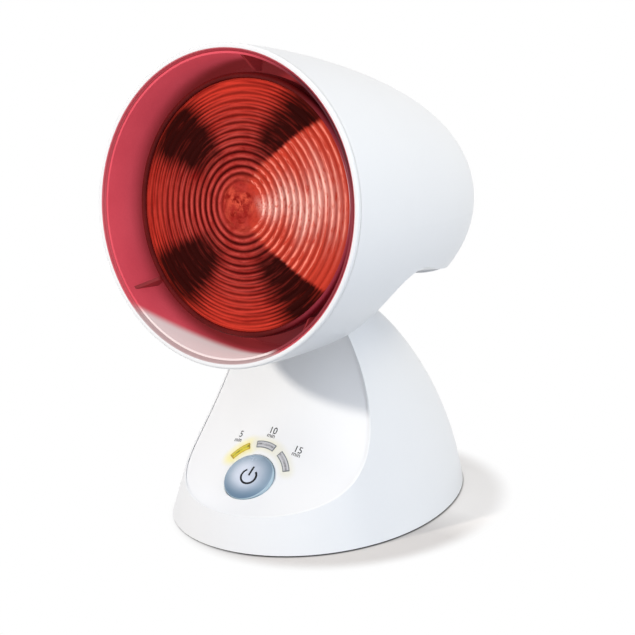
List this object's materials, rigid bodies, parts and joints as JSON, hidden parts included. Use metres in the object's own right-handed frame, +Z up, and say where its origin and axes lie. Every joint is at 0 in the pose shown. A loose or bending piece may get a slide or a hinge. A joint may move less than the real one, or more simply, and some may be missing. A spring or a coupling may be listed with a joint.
{
  "type": "infrared heat therapy lamp",
  "caption": "Table lamp with a red infrared reflector bulb in a dome-shaped head, tilting on an egg-shaped stand with a concave panel, power button and lit timer arcs.",
  "frame": {"origin": "on the table plane, under the middle of the lamp", "axes": "+Z up, the lamp's front towards -Y, +X to the right of someone who faces +Y"},
  "size_m": [0.1484, 0.1829, 0.238],
  "materials": {
    "white_shell": "gloss",
    "white_panel": "gloss",
    "white_rim": "satin",
    "liner_paint": "satin",
    "red_glass": "gloss",
    "tungsten": "satin",
    "nickel_cap": "satin",
    "black_glass": "gloss",
    "brass": "satin",
    "white_ceramic": "satin",
    "zinc_steel": "satin",
    "fibre": "matte",
    "silver_blue": "satin",
    "black_plastic": "matte",
    "board_green": "satin",
    "led_lens": "gloss",
    "window_clear": "gloss",
    "window_lit": "gloss",
    "rubber": "matte",
    "relay_blue": "gloss",
    "capacitor_yellow": "gloss",
    "block_grey": "matte"
  },
  "bodies": {
    "stand": {"stand_shell": "white_shell", "front_panel": "white_panel", "window_5": "window_lit", "window_10": "window_clear", "window_15": "window_clear", "neck_column": "white_shell", "column_screws": "zinc_steel", "friction_washers": "fibre", "base_plate": "black_plastic", "base_screws": "zinc_steel", "rubber_feet": "rubber", "control_board": "board_green", "board_screws": "zinc_steel", "switch_body": "black_plastic", "indicator_leds": "led_lens", "power_board": "board_green", "relay": "relay_blue", "capacitor": "capacitor_yellow", "terminal_block": "block_grey", "cord_gland": "rubber", "gland_nut": "black_plastic"},
    "head": {"head_shell": "white_shell", "mouth_ring": "white_rim", "inner_liner": "liner_paint", "liner_fins": "liner_paint", "lamp_lens": "red_glass", "lamp_reflector": "red_glass", "lamp_filament": "tungsten", "filament_leads": "tungsten", "lamp_cap": "nickel_cap", "cap_insulator": "black_glass", "cap_contact": "brass", "holder_body": "white_ceramic", "holder_sleeve": "brass", "holder_contact": "brass", "holder_bracket": "zinc_steel", "bracket_screws": "zinc_steel", "thermal_cutout": "zinc_steel", "hinge_yoke": "zinc_steel", "yoke_screws": "zinc_steel", "hinge_bolt": "zinc_steel", "spring_washer": "zinc_steel", "hinge_nut": "zinc_steel"},
    "button": {"power_button": "silver_blue", "switch_plunger": "black_plastic"}
  },
  "joints": [
    {"name": "head_tilt", "type": "hinge", "parent": "stand", "child": "head", "pos_m": [0, -0.00714, 0.10439], "axis": [-1, 0, 0], "range_deg": [-22, 22]},
    {"name": "button_press", "type": "slide", "parent": "stand", "child": "button", "axis": [0, 0.6157, -0.788], "range_m": [0, 0.001], "stiffness_N_per_m": 400, "springref_m": -0.0025}
  ]
}
